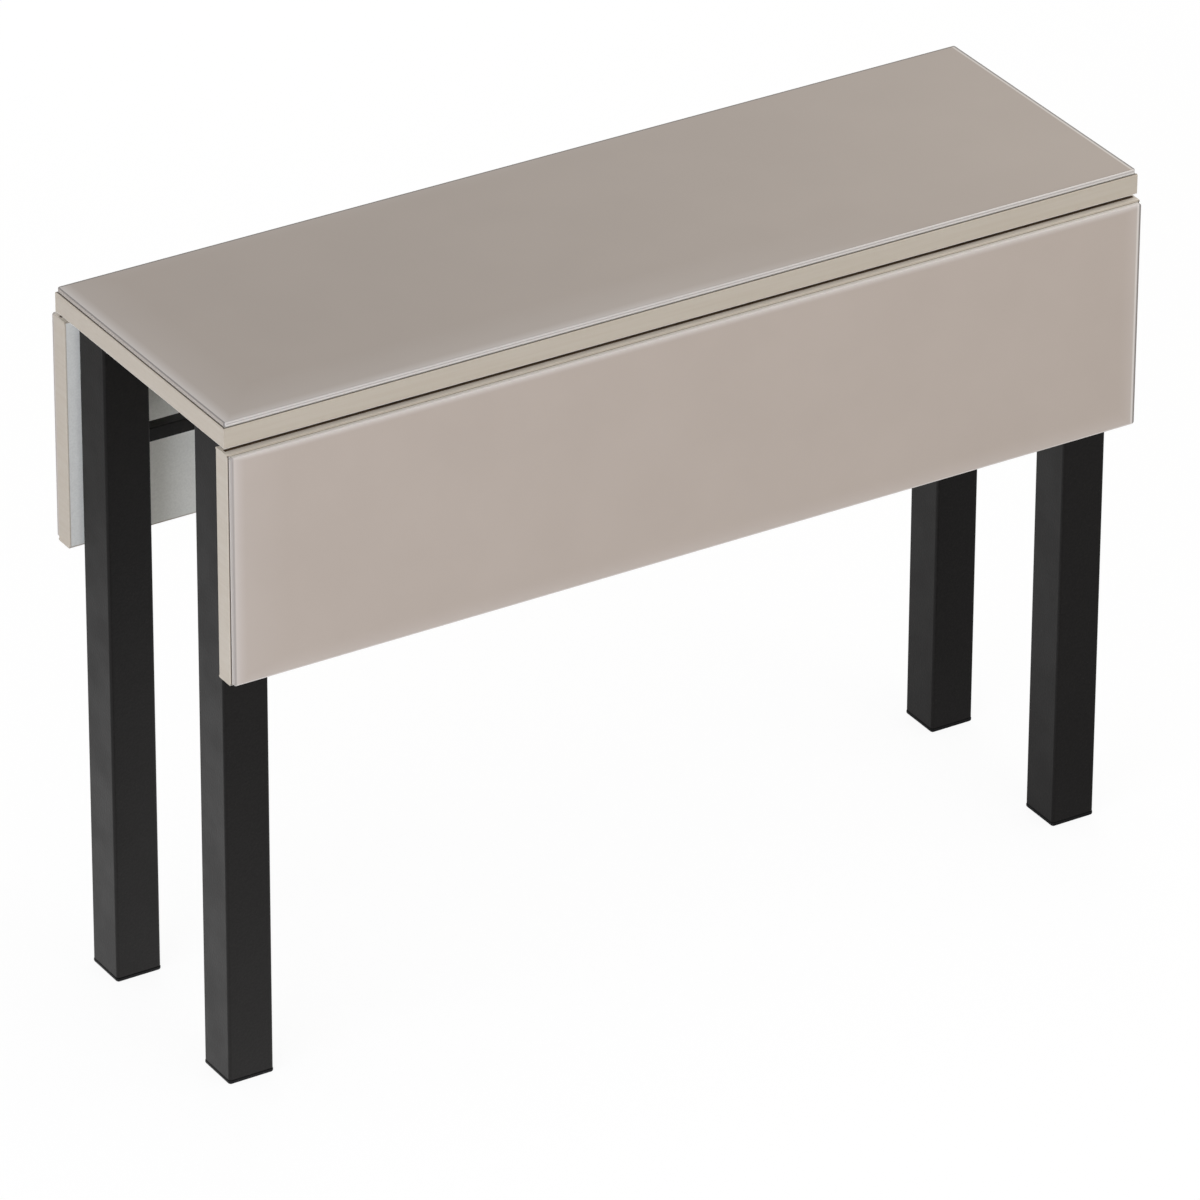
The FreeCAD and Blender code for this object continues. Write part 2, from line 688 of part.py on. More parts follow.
# Assembly
def build_corner(side, sign, end, way, found):
    """One leg with its foot, flange, hinge and prop arm. Adds its screws and cuts to found."""
    corner = f"{side}_{end}"
    leg(corner, way, sign)
    foot(corner, way, sign)
    prop_arm(side, sign, end, way)
    for make, screws_to, cuts_to in ((hinge_base, "base_screws", "top_cuts"),
                                     (hinge_strap, "leaf_screws", "leaf_cuts"),
                                     (prop_lug, "lug_screws", "rail_cuts")):
        screws, holes = make(side, sign, end, way)
        found[screws_to] += screws
        found[cuts_to] += holes
    screws, holes = leg_plate(corner, way, sign)
    found["plate_screws"] += screws
    found["top_cuts"] += holes + [hinge_pocket(side, sign, end, way)]
    found["hinge_pins"].append(hinge_rod(f"HingePin_{corner}", sign, way, "hinge_pin_radius",
                                         "hinge_half + hinge_pin_spare"))
    found["prop_pins"].append(prop_pin(side, sign, end, way))


def build_side(side, sign, found):
    """One long side: its leaf, two corners, rail, prop frame and catch."""
    for kind in ("leaf_screws", "leaf_cuts", "rail_cuts", "hinge_pins", "prop_pins"):
        found[kind] = []
    leaf_core = leaf_panel(side, sign)
    for end, way in ENDS.items():
        build_corner(side, sign, end, way, found)
    prop_crossbar(side, sign)
    screws, holes = catch(side, sign)
    bumpers(side, sign)
    rail(side, sign, found["rail_cuts"])
    node(f"{side}_leaf_board", cut(f"LeafBoard_{side}", leaf_core, found["leaf_cuts"] + holes))
    node(f"{side}_leaf_screws", group(f"LeafScrews_{side}", found["leaf_screws"] + screws))
    node(f"{side}_hinge_pins", group(f"HingePins_{side}", found["hinge_pins"]))
    node(f"{side}_prop_pins", group(f"PropPins_{side}", found["prop_pins"]))


def build():
    found = {kind: [] for kind in ("top_cuts", "plate_screws", "base_screws", "lug_screws")}
    top_core = top_panel()
    for side, sign in LONG_SIDES.items():
        build_side(side, sign, found)
    node("top_board", cut("TopBoard", top_core, found["top_cuts"]))
    node("leg_plate_screws", group("LegPlateScrews", found["plate_screws"]))
    node("hinge_base_screws", group("HingeBaseScrews", found["base_screws"]))
    node("prop_lug_screws", group("PropLugScrews", found["lug_screws"]))


def check():
    doc.recompute()
    faults = [item.Label for item in doc.Objects if "Invalid" in item.State or "Error" in item.State]
    for name, item in nodes.items():
        if item.Shape.isNull() or not item.Shape.isValid():
            faults.append(name)
    if faults:
        raise RuntimeError("not built: " + ", ".join(faults))


def write():
    os.makedirs("parts", exist_ok=True)
    for name, item in nodes.items():
        item.Shape.exportStep(f"parts/{name}.step")


build()
check()
write()
print(len(nodes), "sub-parts written")
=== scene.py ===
"""Finishes of the drop-leaf dining table: painted glass panes on banded boards, powder-coated
square legs, zinc hinges and folding prop frames. Metres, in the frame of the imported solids."""
import json
import math

import bmesh
import bpy
import numpy as np
from mathutils import Matrix, Vector


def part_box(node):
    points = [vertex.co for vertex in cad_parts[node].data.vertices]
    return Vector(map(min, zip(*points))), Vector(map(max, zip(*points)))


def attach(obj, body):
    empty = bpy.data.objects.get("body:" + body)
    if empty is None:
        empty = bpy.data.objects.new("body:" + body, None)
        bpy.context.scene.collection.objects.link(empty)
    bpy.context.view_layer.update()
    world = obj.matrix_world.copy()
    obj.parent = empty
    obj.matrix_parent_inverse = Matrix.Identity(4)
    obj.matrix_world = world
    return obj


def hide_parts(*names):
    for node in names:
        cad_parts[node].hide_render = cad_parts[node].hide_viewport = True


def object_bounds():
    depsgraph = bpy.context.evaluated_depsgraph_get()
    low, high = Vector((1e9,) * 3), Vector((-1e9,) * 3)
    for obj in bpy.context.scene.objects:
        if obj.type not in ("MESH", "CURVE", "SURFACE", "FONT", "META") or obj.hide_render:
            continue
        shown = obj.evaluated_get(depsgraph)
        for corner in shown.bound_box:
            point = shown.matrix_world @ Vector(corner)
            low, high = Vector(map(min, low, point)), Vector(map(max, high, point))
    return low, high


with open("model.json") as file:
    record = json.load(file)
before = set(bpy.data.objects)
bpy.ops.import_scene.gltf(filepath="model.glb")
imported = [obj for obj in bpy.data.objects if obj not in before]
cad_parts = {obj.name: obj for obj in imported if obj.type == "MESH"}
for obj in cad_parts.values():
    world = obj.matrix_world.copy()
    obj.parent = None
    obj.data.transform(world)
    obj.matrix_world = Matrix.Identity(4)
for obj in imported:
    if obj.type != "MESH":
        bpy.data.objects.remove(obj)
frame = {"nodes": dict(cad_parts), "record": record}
solid_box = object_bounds()

MM = 0.001
SIDES = {"front": -1, "rear": 1}
ENDS = {"left": -1, "right": 1}

# Camera, fitted to the photograph's square frame
FRAME_PIXELS = 1200
FOCAL_PIXELS = 10000
SENSOR_WIDTH = 36.0
AZIMUTH = -31.63
ELEVATION = 29.07
ROLL = 0.28
DISTANCE = 10.047
AIM = Vector((0.0281, 0.0474, 0.3022))
VIEW_REACH = 100.0

# Light: each softbox has a direction from the table, a distance, a width, a height, a power and a tint
WORLD_STRENGTH = 0.44
SOFTBOXES = {
    "left_softbox": ((-0.88, -0.42, 0.13), 5.0, 4.2, 2.0, 137.0, (0.93, 0.99, 1.13)),
    "front_softbox": ((0.25, -0.94, 0.22), 5.0, 3.6, 2.4, 55.0, (0.98, 1.01, 1.03)),
    "rear_softbox": ((0.35, 0.93, 0.12), 5.0, 3.6, 1.8, 75.0, (0.99, 1.0, 1.01)),
    "right_overhead": ((0.56, -0.14, 0.81), 1.3, 0.9, 0.9, 2.0, (1.0, 0.985, 0.95)),
}
# The floor glows where it is seen. In reflections it is brightest at the left end of the table
FLOOR_REACH = 14.0
FLOOR_LEVEL = -0.0003
FLOOR_GLOW = 0.86
FLOOR_WHITE = 1.06
FLOOR_BRIGHTEST = (-0.55, 0.15, 0.0)
FLOOR_NEAR = 0.35
FLOOR_FAR = 1.15
FLOOR_FAR_GLOW = 0.3

# Colours as sRGB hex values
COLOURS = {
    "glass_paint": "b9aca1",
    "glass_paint_deep": "b7aa9f",
    # Painted light and shade at the glass's edges: haze, highlights, dark lines, lit and shaded walls
    "glass_haze": "e4deda",
    "glass_strip": "f1ece7",
    "glass_line": "6a635e",
    "glass_arris": "e6e1dc",
    "glass_wall": "bcb4ad",
    "glass_wall_pale": "d3cdc7",
    "glass_wall_dull": "aca297",
    "glass_wall_line": "6f6863",
    "band": "bfb5a6",
    "band_streak": "bcb1a1",
    # The band's pale lower-edge colour is a painted highlight
    "band_edge_highlight": "f2eee9",
    # A leaf's hinge edge is painted paler: painted light that lifts the shade under the top
    "band_hinge_painted_light": "e4dcd0",
    "band_joint": "6b5f54",
    "melamine": "f2f1ea",
    "melamine_fleck": "eae9e2",
    "powder_coat": "100e0d",
    "powder_coat_peak": "151312",
    "foot": "09090a",
    "foot_sheen": "0e0e0f",
    "zinc": "c6c9cc",
    "zinc_dull": "aaaeb3",
    "screw_zinc": "d6d9dc",
    "screw_zinc_dull": "c2c6ca",
    "nylon": "1c1d1e",
    "nylon_worn": "2b2c2d",
    "rubber": "1d1814",
    "rubber_bloom": "2a231d",
    # A dark strip that stands in for the shade in the leaves' gaps
    "gap_shade": "4a3828",
    "gap_shade_mottle": "564434",
    "foam": "d9d7d0",
    "foam_pore": "c2c0b9",
    "floor": "f8f8f8",
    "white": "ffffff",
    "studio": "fffcf9",
}


def linear(name):
    """The linear colour of a named sRGB hex value."""
    digits = COLOURS[name]
    channels = np.array([int(digits[start:start + 2], 16) for start in (0, 2, 4)]) / 255
    curve = np.where(channels <= 0.04045, channels / 12.92, ((channels + 0.055) / 1.055) ** 2.4)
    return (*curve, 1.0)


# Node building
MATH = "ShaderNodeMath"
MAP = "ShaderNodeMapRange"
# Noise seldom leaves this range
NOISE_LOW = 0.35
NOISE_HIGH = 0.65


def add(tree, kind, inputs, **settings):
    """Adds one node with its settings, gives each input a value or a link, and returns its outputs."""
    node = tree.nodes.new(kind)
    for name, value in settings.items():
        setattr(node, name, value)
    for name, value in inputs.items():
        if isinstance(value, bpy.types.NodeSocket):
            tree.links.new(value, node.inputs[name])
        else:
            node.inputs[name].default_value = value
    return node.outputs


def new_material(name, sockets):
    """A material with one Principled shader. Returns it, its tree, its shader and its coordinates."""
    material = bpy.data.materials.new(name)
    material.use_nodes = True
    tree = material.node_tree
    shader = tree.nodes["Principled BSDF"]
    for socket, value in sockets.items():
        shader.inputs[socket].default_value = value
    coordinates = add(tree, "ShaderNodeTexCoord", {})
    return material, tree, shader, coordinates["Object"]


def grains(tree, place, size, low=0.0, high=1.0, stretch=(1, 1, 1), detail=2.0):
    """Noise with grains about size metres across, longer along an axis with a large stretch,
    spread from its usual range on to low and high."""
    squeezed = add(tree, "ShaderNodeMapping", {"Vector": place, "Scale": [1 / way for way in stretch]})
    noise = add(tree, "ShaderNodeTexNoise", {"Vector": squeezed[0], "Scale": 1 / size, "Detail": detail})
    return add(tree, MAP, {"Value": noise[0], "From Min": NOISE_LOW, "From Max": NOISE_HIGH,
                           "To Min": low, "To Max": high})[0]


def layered(tree, base, layers):
    """Colours laid over a base colour in turn, each by its share from 0 to 1."""
    colour = linear(base)
    for share, name in layers:
        mixed = add(tree, "ShaderNodeMix", {0: share, 6: colour, 7: linear(name)}, data_type="RGBA")
        colour = mixed[2]
    return colour


def dress(tree, shader, colour, roughness, height=None, relief=0.0):
    """Links a colour and a roughness to the shader, and a bump of height times relief in metres."""
    tree.links.new(colour, shader.inputs["Base Color"])
    tree.links.new(roughness, shader.inputs["Roughness"])
    if height is not None:
        bump = add(tree, "ShaderNodeBump", {"Height": height, "Distance": relief})
        tree.links.new(bump[0], shader.inputs["Normal"])


# Painted glass. Up the wall of a pane, in shares of its thickness: the painted highlight at its foot
# ends, a painted dark line lies, and the painted highlight of the upper part starts
WALL_FOOT = 0.36
WALL_LINE = 0.6
WALL_LINE_HALF = 0.13
WALL_UPPER = 0.74
# How far in from a side the ground arris and the wall itself count
ARRIS_REACH = 0.74 * MM
WALL_REACH = 0.05 * MM
GROUND_ROUGHNESS = 0.3
# Painted light from the left end keeps its strength up to the first share of the pane's length and
# falls until the second. Where it is full, the painted highlight on the arris loses a share of its
# brightness
DAYLIGHT_FULL = 0.45
DAYLIGHT_GONE = 0.75
ARRIS_DIMMED = 0.65
# What a side of a pane can show, all painted light and shade: how far in from the side it reaches,
# and how fast it fades
EDGE_MARKS = {
    "wide_haze": (22 * MM, 1.8),
    "far_haze": (60 * MM, 1.0),
    "short_haze": (7 * MM, 1.5),
    "strip": (5.1 * MM, 0.3),
    "line": (2.8 * MM, 0.3),
    "fine_line": (1.5 * MM, 0.3),
    "rim": (1.6 * MM, 0.3),
    "arris": (ARRIS_REACH, 0.05),
    "pale_wall": (WALL_REACH, 0.05),
    "dull_wall": (WALL_REACH, 0.05),
    "bright_wall": (WALL_REACH, 0.05),
    "lined_wall": (WALL_REACH, 0.05),
}


def edge_marks(tree, place, low, high, sides):
    """The strength of each mark, by its name, and the distance to the nearest side.
    A mark is strength * (1 - distance / reach) ^ fade at a side, and the strongest side counts."""
    marks = dict.fromkeys(EDGE_MARKS, 0.0)
    nearest = 1.0
    for side, strengths in sides.items():
        axis = "xyz".index(side[1])
        edge = high[axis] if side[0] == "+" else low[axis]
        offset = add(tree, MATH, {0: place[axis], 1: edge}, operation="SUBTRACT")
        distance = add(tree, MATH, {0: offset[0]}, operation="ABSOLUTE")[0]
        nearest = add(tree, MATH, {0: nearest, 1: distance}, operation="MINIMUM")[0]
        for name, strength in strengths.items():
            reach, fade = EDGE_MARKS[name]
            near = add(tree, MAP, {"Value": distance, "From Max": reach, "To Min": 1.0, "To Max": 0.0})
            curve = add(tree, MATH, {0: near[0], 1: fade}, operation="POWER")
            mark = add(tree, MATH, {0: curve[0], 1: strength}, operation="MULTIPLY")
            marks[name] = add(tree, MATH, {0: marks[name], 1: mark[0]}, operation="MAXIMUM")[0]
    return marks, nearest


def painted_glass(node, face, sides, far_daylight):
    """Toughened float glass painted on its back, with ground edges.

    The paint shows through a mirror-smooth face. A soft haze of painted light lifts the paint near
    the edges, for light that enters there, and falls to the share far_daylight towards the right
    end, where a painted highlight on the arris grows brighter instead. Close to an edge the face
    shows a painted dark line, or behind it a painted bright strip that stands in for the far wall
    seen through the glass. A wall is grey with a painted highlight at its foot, and by its side it
    is painted dull, pale or bright, or pale with a painted dark line and a painted highlight above
    it: lit and shaded copies of one ground edge. A rim is a painted highlight along a lower arris.
    face is the side that the bare face turns to. sides gives the strengths of the marks at each
    side of the pane.
    """
    low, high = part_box(node)
    material, tree, shader, coordinates = new_material("painted_glass_of_" + node, {"IOR": 1.5})
    place = add(tree, "ShaderNodeSeparateXYZ", {0: coordinates})
    marks, nearest = edge_marks(tree, place, low, high, sides)
    length = high.x - low.x
    daylight = add(tree, MAP, {"Value": place[0], "From Min": low.x + DAYLIGHT_FULL * length,
                               "From Max": low.x + DAYLIGHT_GONE * length,
                               "To Min": 1.0, "To Max": far_daylight})[0]
    haze = add(tree, MATH, {0: marks["wide_haze"], 1: marks["far_haze"]}, operation="MAXIMUM")[0]
    haze = add(tree, MATH, {0: haze, 1: marks["short_haze"]}, operation="MAXIMUM")[0]
    haze = add(tree, MATH, {0: haze, 1: daylight}, operation="MULTIPLY")[0]
    dimmed = add(tree, MATH, {0: daylight, 1: -ARRIS_DIMMED, 2: 1.0}, operation="MULTIPLY_ADD")[0]
    arris = add(tree, MATH, {0: marks["arris"], 1: dimmed}, operation="MULTIPLY")[0]
    axis = "xyz".index(face[1])
    back, front = (low[axis], high[axis]) if face[0] == "+" else (high[axis], low[axis])
    depth = add(tree, MAP, {"Value": place[axis], "From Min": back, "From Max": front})[0]
    ground = add(tree, MATH, {0: nearest, 1: ARRIS_REACH}, operation="LESS_THAN")[0]
    wall = add(tree, MATH, {0: nearest, 1: WALL_REACH}, operation="LESS_THAN")[0]
    behind = add(tree, MATH, {0: depth, 1: WALL_FOOT}, operation="LESS_THAN")[0]
    foot = add(tree, MATH, {0: wall, 1: behind}, operation="MULTIPLY")[0]
    ahead = add(tree, MATH, {0: depth, 1: WALL_UPPER}, operation="GREATER_THAN")[0]
    upper_wall = add(tree, MATH, {0: marks["lined_wall"], 1: ahead}, operation="MULTIPLY")[0]
    middle = add(tree, MATH, {0: depth, 1: WALL_LINE, 2: WALL_LINE_HALF}, operation="COMPARE")[0]
    wall_line = add(tree, MATH, {0: marks["lined_wall"], 1: middle}, operation="MULTIPLY")[0]
    cloud = grains(tree, coordinates, size=90 * MM)
    colour = layered(tree, "glass_paint", [
        (cloud, "glass_paint_deep"), (haze, "glass_haze"), (marks["strip"], "glass_strip"),
        (marks["line"], "glass_line"), (marks["fine_line"], "glass_line"),
        (marks["rim"], "glass_arris"), (arris, "glass_arris"), (wall, "glass_wall"),
        (foot, "glass_arris"), (marks["pale_wall"], "glass_wall_pale"),
        (marks["dull_wall"], "glass_wall_dull"), (marks["bright_wall"], "glass_strip"),
        (wall_line, "glass_wall_line"), (upper_wall, "glass_arris")])
    smears = grains(tree, coordinates, size=35 * MM, low=0.05, high=0.11)
    satin = add(tree, MATH, {0: ground, 1: GROUND_ROUGHNESS}, operation="MULTIPLY")[0]
    shine = add(tree, MATH, {0: smears, 1: satin}, operation="MAXIMUM")[0]
    dress(tree, shader, colour, shine)
    return material


# Other materials
BAND_THICKNESS = 2 * MM
# A face turns to a side where its normal leans that far to it. A rounded lower edge, which carries
# a painted highlight, turns down more than the sides do and less than the underside
FACING = 0.9
EDGE_HIGHLIGHT_STARTS = -0.2
EDGE_HIGHLIGHT_FULL = -0.45
UNDERSIDE_STARTS = -0.85
UNDERSIDE_FULL = -0.97
MOULDED_SPREAD = 0.05


def plastic_band(node, face, joint_from):
    """Extruded ABS edge band: an even satin skin, with faint streaks along the run of the extruder.

    The lower edges were rounded with a scraper, and a painted highlight makes the plastic paler
    there. A leaf's hinge edge is painted paler: painted light that lifts the shade under the top.
    The band is painted darker on the side, face, that carries the pane, from the distance joint_from
    outwards along X, which draws a dark joint beside the pane.
    """
    material, tree, shader, coordinates = new_material("abs_band_of_" + node, {"IOR": 1.5})
    streaks = grains(tree, coordinates, size=3 * MM, stretch=(40, 40, 1))
    facing = add(tree, "ShaderNodeSeparateXYZ", {0: coordinates.node.outputs["Normal"]})
    past_sides = add(tree, MAP, {"Value": facing[2], "From Min": EDGE_HIGHLIGHT_STARTS,
                                 "From Max": EDGE_HIGHLIGHT_FULL})
    past_underside = add(tree, MAP, {"Value": facing[2], "From Min": UNDERSIDE_FULL,
                                     "From Max": UNDERSIDE_STARTS})
    edge_highlight = add(tree, MATH, {0: past_sides[0], 1: past_underside[0]}, operation="MULTIPLY")
    layers = [(streaks, "band_streak"), (edge_highlight[0], "band_edge_highlight")]
    # The hinge edge is painted paler, as painted light that lifts the shade under the top
    if face != "+z":
        hinge_edge = add(tree, MATH, {0: facing[2], 1: FACING}, operation="GREATER_THAN")
        layers.append((hinge_edge[0], "band_hinge_painted_light"))
    place = add(tree, "ShaderNodeSeparateXYZ", {0: coordinates})
    sign = 1 if face[0] == "+" else -1
    outward = add(tree, MATH, {0: facing["xyz".index(face[1])], 1: sign}, operation="MULTIPLY")
    carrying = add(tree, MATH, {0: outward[0], 1: FACING}, operation="GREATER_THAN")
    along = add(tree, MATH, {0: place[0]}, operation="ABSOLUTE")
    beside = add(tree, MATH, {0: along[0], 1: joint_from}, operation="GREATER_THAN")
    joint = add(tree, MATH, {0: carrying[0], 1: beside[0]}, operation="MULTIPLY")
    colour = layered(tree, "band", [*layers, (joint[0], "band_joint")])
    pearl = grains(tree, coordinates, size=1.1 * MM)
    shine = grains(tree, coordinates, size=8 * MM, low=0.42, high=0.52)
    dress(tree, shader, colour, shine, height=pearl, relief=0.03 * MM)
    return material


def melamine():
    """Melamine-coated board: printed paper under a pressed resin, with a pearl texture and flecks."""
    material, tree, shader, coordinates = new_material("melamine_board", {"IOR": 1.5})
    flecks = grains(tree, coordinates, size=2.2 * MM, detail=4.0)
    colour = layered(tree, "melamine", [(flecks, "melamine_fleck")])
    pearl = grains(tree, coordinates, size=0.9 * MM)
    shine = grains(tree, coordinates, size=12 * MM, low=0.4, high=0.5)
    dress(tree, shader, colour, shine, height=pearl, relief=0.04 * MM)
    return material


def powder_coat():
    """Powder-coated steel: melted powder leaves a satin black skin with orange peel.
    Real peel is about 1 mm across. It is drawn at 2.5 mm so that it shows."""
    material, tree, shader, coordinates = new_material("powder_coated_steel", {"IOR": 1.34})
    peel = grains(tree, coordinates, size=2.5 * MM)
    colour = layered(tree, "powder_coat", [(peel, "powder_coat_peak")])
    shine = grains(tree, coordinates, size=40 * MM, low=0.36, high=0.44)
    dress(tree, shader, colour, shine, height=peel, relief=0.05 * MM)
    return material


def moulded(name, base, worn, ior, roughness):
    """Moulded plastic or rubber with the fine spark-eroded texture of its tool."""
    material, tree, shader, coordinates = new_material(name, {"IOR": ior})
    wear = grains(tree, coordinates, size=9 * MM)
    colour = layered(tree, base, [(wear, worn)])
    spark = grains(tree, coordinates, size=0.8 * MM, detail=3.0)
    shine = grains(tree, coordinates, size=6 * MM, low=roughness - MOULDED_SPREAD,
                   high=roughness + MOULDED_SPREAD)
    dress(tree, shader, colour, shine, height=spark, relief=0.03 * MM)
    return material


def zinc_plate(name, base, dull):
    """Bright zinc plate on pressed steel: a soft metal shine, clouded, with fine rolling lines."""
    material, tree, shader, coordinates = new_material(name, {"Metallic": 1.0})
    clouds = grains(tree, coordinates, size=5 * MM, detail=4.0)
    colour = layered(tree, base, [(clouds, dull)])
    lines = grains(tree, coordinates, size=0.6 * MM, stretch=(30, 1, 1))
    shine = grains(tree, coordinates, size=4 * MM, low=0.28, high=0.42)
    dress(tree, shader, colour, shine, height=lines, relief=0.01 * MM)
    return material


def foam():
    """Closed-cell mounting foam, matt, with open pores on its cut edge."""
    material, tree, shader, coordinates = new_material("mounting_foam", {"IOR": 1.4})
    pores = grains(tree, coordinates, size=0.7 * MM, detail=3.0)
    colour = layered(tree, "foam", [(pores, "foam_pore")])
    shine = grains(tree, coordinates, size=5 * MM, low=0.85, high=0.95)
    dress(tree, shader, colour, shine, height=pores, relief=0.1 * MM)
    return material


# Surfaces
SAME_POINT = 0.002 * MM
LEAST_CORNER = 0.1 * MM


def new_piece(name, points, body, material, sharp):
    """One smooth mesh from grids of points, an array (copies, rows, columns, 3), whose last column
    joins the first. Rows that shrink to a point are welded there, faces point outwards, and edges
    over the angle sharp, in degrees, stay crisp."""
    copies, rows, columns, _ = points.shape
    row, column, copy = np.meshgrid(np.arange(rows - 1), np.arange(columns), np.arange(copies),
                                    indexing="ij")
    following = (column + 1) % columns
    start = copy * rows * columns
    corners = [start + row * columns + column, start + row * columns + following,
               start + (row + 1) * columns + following, start + (row + 1) * columns + column]
    mesh = bpy.data.meshes.new(name)
    mesh.from_pydata(points.reshape(-1, 3), [], np.stack(corners, -1).reshape(-1, 4))
    shape = bmesh.new()
    shape.from_mesh(mesh)
    bmesh.ops.remove_doubles(shape, verts=shape.verts, dist=SAME_POINT)
    bmesh.ops.recalc_face_normals(shape, faces=shape.faces)
    shape.to_mesh(mesh)
    shape.free()
    mesh.materials.append(material)
    mesh.shade_smooth()
    mesh.set_sharp_from_angle(angle=math.radians(sharp))
    piece = bpy.data.objects.new(name, mesh)
    bpy.context.scene.collection.objects.link(piece)
    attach(piece, body)
    return piece


def rounded_square(half, corner, steps=8):
    """The outline of a square with round corners, for arrays of half sizes and corner radii:
    each corner is a quarter circle about (half - corner), and straight lines join them."""
    quarter = np.linspace(0, np.pi / 2, steps)
    angle = np.concatenate([quarter + turn * np.pi / 2 for turn in range(4)])
    middle = np.repeat(np.array([[1, 1], [-1, 1], [-1, -1], [1, -1]]), steps, axis=0)
    half, corner = np.asarray(half)[..., None, None], np.asarray(corner)[..., None, None]
    direction = np.stack([np.cos(angle), np.sin(angle)], -1)
    return middle * (half - corner) + direction * corner


def square_stack(half, corner, profile):
    """A closed form of rounded squares: profile gives each row's height and its inset from half.
    The first and last rows are points on the axis."""
    height, inset = np.array(profile).T
    outline = rounded_square(half - inset, np.clip(corner - inset, LEAST_CORNER, None))
    outline[[0, -1]] = 0
    upright = np.broadcast_to(height[:, None, None], (*outline.shape[:2], 1))
    return np.concatenate([outline, upright], -1)


# Feet, bumpers and the dark strips that stand in for the shade in the leaves' gaps. A profile's rows
# are a height and an inset
FOOT_PROUD = 0.4 * MM
FOOT_PROFILE = np.array((
    (0, 0), (0, 2.6), (0.25, 1.4), (0.9, 0.5), (1.7, 0.05), (2.2, 0), (3.8, 0), (4.2, 0.25), (4.4, 0.9),
    (4.4, 1.6), (5, 1.6), (5, 2.9), (26, 2.9), (29, 4.6), (29, 0))) * MM
BUMPER_PROFILE = np.array((
    (0, 0), (0, 0), (1.2, 0), (1.6, 0.5), (7.8, 1.2), (9, 1.6), (9.7, 2.5), (10, 4.2), (10, 0))) * MM
LEG_CORNER = 3 * MM
BUMPER_CORNER = 4 * MM
# The dark strip's two edges lie that far from the table's middle plane, and it starts in from the
# leaf's ends. The strip stands in for the shade in the gap under the top
GAP_SHADE_NEAR = 162.3 * MM
GAP_SHADE_FAR = 158.5 * MM
GAP_SHADE_END = 0.5 * MM
GAP_SHADE_RISE = 0.5 * MM
GAP_SHADE_SUNK = 0.1
GAP_SHADE_POINTS = 9


def foot_cap(node, material):
    """A moulded cap: a rim with a rolled lower edge, a shadow groove under the tube, and a plug
    with a lead-in that fills the tube."""
    low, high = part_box(node)
    form = square_stack((high.x - low.x) / 2 + FOOT_PROUD, LEG_CORNER + FOOT_PROUD, FOOT_PROFILE)
    middle = np.array([(low.x + high.x) / 2, (low.y + high.y) / 2, low.z])
    piece = new_piece(node + "_cap", (form + middle)[None], "frame", material, sharp=40)
    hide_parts(node)


def bumper_pads(side, sign, material):
    """Two soft pads, each a rounded square with a rolled rim, glued to the leaf."""
    node = f"{side}_leaf_bumpers"
    low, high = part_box(node)
    half = (high.z - low.z) / 2
    form = square_stack(half, BUMPER_CORNER, BUMPER_PROFILE)
    glued = high.y if sign > 0 else low.y
    pads = []
    for middle in (low.x + half, high.x - half):
        pads.append(np.stack([middle + form[..., 0], glued - sign * form[..., 2],
                              (low.z + high.z) / 2 + form[..., 1]], -1))
    piece = new_piece(f"{side}_bumper_pads", np.stack(pads), f"{side}_leaf", material,
                      sharp=40)
    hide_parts(node)


def gap_shade_strip(side, sign, material):
    """A thin dark strip along the upper edge of a leaf, which stands in for the shade in the gap
    under the top.
    Its section is a low dome, rise * (1 - across ^ 4) ^ 0.5, closed just below the edge, carried
    along X."""
    low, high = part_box(f"{side}_leaf_board")
    band_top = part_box(f"{side}_leaf_edge_bands")[1].z
    across = np.sin(np.linspace(-np.pi / 2, np.pi / 2, GAP_SHADE_POINTS))
    dome = np.sqrt(1 - across ** 4)
    across = np.concatenate([across, [1, -1]])
    dome = np.concatenate([dome, [-GAP_SHADE_SUNK, -GAP_SHADE_SUNK]])
    middle = sign * (GAP_SHADE_NEAR + GAP_SHADE_FAR) / 2
    off_middle = sign * across * (GAP_SHADE_NEAR - GAP_SHADE_FAR) / 2
    left, right = low.x + GAP_SHADE_END, high.x - GAP_SHADE_END
    along = np.array([left, left, right, right])[:, None]
    size = np.array([0, 1, 1, 0])[:, None]
    points = np.stack([np.broadcast_to(along, (len(along), len(across))),
                       middle + size * off_middle, band_top + size * dome * GAP_SHADE_RISE], -1)
    new_piece(f"{side}_leaf_gap_shade_strip", points[None], f"{side}_leaf", material, sharp=60)


# Screws
SCREW_HEAD = 3.5 * MM
SCREW_HEAD_HEIGHT = 2 * MM
SCREW_RADIUS = 1.75 * MM
SCREW_CORE = 1.25 * MM
SCREW_PITCH = 1.75 * MM
SCREW_TIP = 3 * MM
SCREW_COLUMNS = 24
SHANK_ROWS = 72
SCREW_SPACING = 8 * MM
# Rows of the head as shares of its radius. The last ones are its rim, dropped by shares of its height
HEAD_ROWS = (0, 0.18, 0.34, 0.48, 0.6, 0.75, 0.9, 0.97, 1.0, 1.0, 0.97)
RIM_DROPS = (0.58, 0.68, 0.92, 1.0)
HEAD_DOME = 0.55
# The cross recess: its depth, where its end walls stand as shares of the radius, and how its arms narrow
RECESS_DEPTH = 1.2 * MM
RECESS_END = 0.56
RECESS_WALL = 0.1
ARM_FULL = 1.5
ARM_SLOPE = 7


